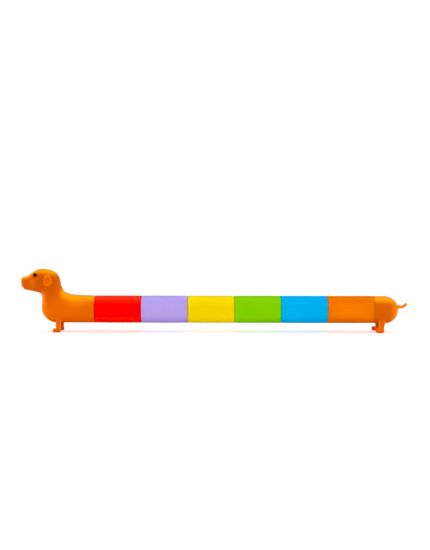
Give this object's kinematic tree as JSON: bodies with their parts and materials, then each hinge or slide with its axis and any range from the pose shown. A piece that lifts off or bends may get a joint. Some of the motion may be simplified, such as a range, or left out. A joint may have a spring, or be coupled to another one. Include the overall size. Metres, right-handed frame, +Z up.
{
  "type": "twist puzzle",
  "caption": "Dachshund-shaped twist puzzle: a straight row of coloured blocks between a head and a rear block, each swivelling about the body's long axis.",
  "frame": {"origin": "on the floor under the middle of the whole length, in the middle plane of the dog", "axes": "+X along the body towards the tail, the head at -X; +Y towards the dog's right side; +Z up"},
  "size_m": [0.3234, 0.0226, 0.0529],
  "materials": {
    "dog_orange": "smooth satin gloss moulding",
    "red_block": "smooth gloss moulding",
    "purple_block": "smooth satin moulding",
    "yellow_block": "smooth gloss moulding",
    "green_block": "smooth gloss moulding",
    "blue_block": "smooth satin moulding",
    "orange_block": "smooth satin moulding",
    "inner_plastic": "plain moulding",
    "eye_black": "polished bead",
    "steel": "zinc plated"
  },
  "bodies": {
    "head": {"front_left_leg": "dog_orange", "front_right_leg": "dog_orange", "head_end_cap": "inner_plastic", "head_left_shell": "dog_orange", "head_right_shell": "dog_orange", "head_shell_screws": "steel", "head_swivel_screw": "steel", "head_swivel_spring": "steel", "head_swivel_washer": "steel", "left_ear": "dog_orange", "left_eye": "eye_black", "right_ear": "dog_orange", "right_eye": "eye_black"},
    "red": {"red_block": "red_block", "red_end_cap": "inner_plastic", "red_swivel_screw": "steel", "red_swivel_spring": "steel", "red_swivel_washer": "steel"},
    "purple": {"purple_block": "purple_block", "purple_end_cap": "inner_plastic", "purple_swivel_screw": "steel", "purple_swivel_spring": "steel", "purple_swivel_washer": "steel"},
    "yellow": {"yellow_block": "yellow_block", "yellow_end_cap": "inner_plastic", "yellow_swivel_screw": "steel", "yellow_swivel_spring": "steel", "yellow_swivel_washer": "steel"},
    "green": {"green_block": "green_block", "green_end_cap": "inner_plastic", "green_swivel_screw": "steel", "green_swivel_spring": "steel", "green_swivel_washer": "steel"},
    "blue": {"blue_block": "blue_block", "blue_end_cap": "inner_plastic", "blue_swivel_screw": "steel", "blue_swivel_spring": "steel", "blue_swivel_washer": "steel"},
    "orange": {"orange_block": "orange_block", "orange_end_cap": "inner_plastic", "orange_swivel_screw": "steel", "orange_swivel_spring": "steel", "orange_swivel_washer": "steel"},
    "rear": {"rear_left_leg": "dog_orange", "rear_left_shell": "dog_orange", "rear_right_leg": "dog_orange", "rear_right_shell": "dog_orange", "rear_shell_screws": "steel", "tail": "dog_orange"}
  },
  "joints": [
    {"name": "head_red_swivel", "type": "hinge", "parent": "head", "child": "red", "pos_m": [-0.0997, 0, 0.0189], "axis": [1, 0, 0], "continuous": true},
    {"name": "red_purple_swivel", "type": "hinge", "parent": "red", "child": "purple", "pos_m": [-0.0609, 0, 0.0189], "axis": [1, 0, 0], "continuous": true},
    {"name": "purple_yellow_swivel", "type": "hinge", "parent": "purple", "child": "yellow", "pos_m": [-0.0221, 0, 0.0189], "axis": [1, 0, 0], "continuous": true},
    {"name": "yellow_green_swivel", "type": "hinge", "parent": "yellow", "child": "green", "pos_m": [0.0167, 0, 0.0189], "axis": [1, 0, 0], "continuous": true},
    {"name": "green_blue_swivel", "type": "hinge", "parent": "green", "child": "blue", "pos_m": [0.0555, 0, 0.0189], "axis": [1, 0, 0], "continuous": true},
    {"name": "blue_orange_swivel", "type": "hinge", "parent": "blue", "child": "orange", "pos_m": [0.0943, 0, 0.0189], "axis": [1, 0, 0], "continuous": true},
    {"name": "orange_rear_swivel", "type": "hinge", "parent": "orange", "child": "rear", "pos_m": [0.1331, 0, 0.0189], "axis": [1, 0, 0], "continuous": true}
  ]
}
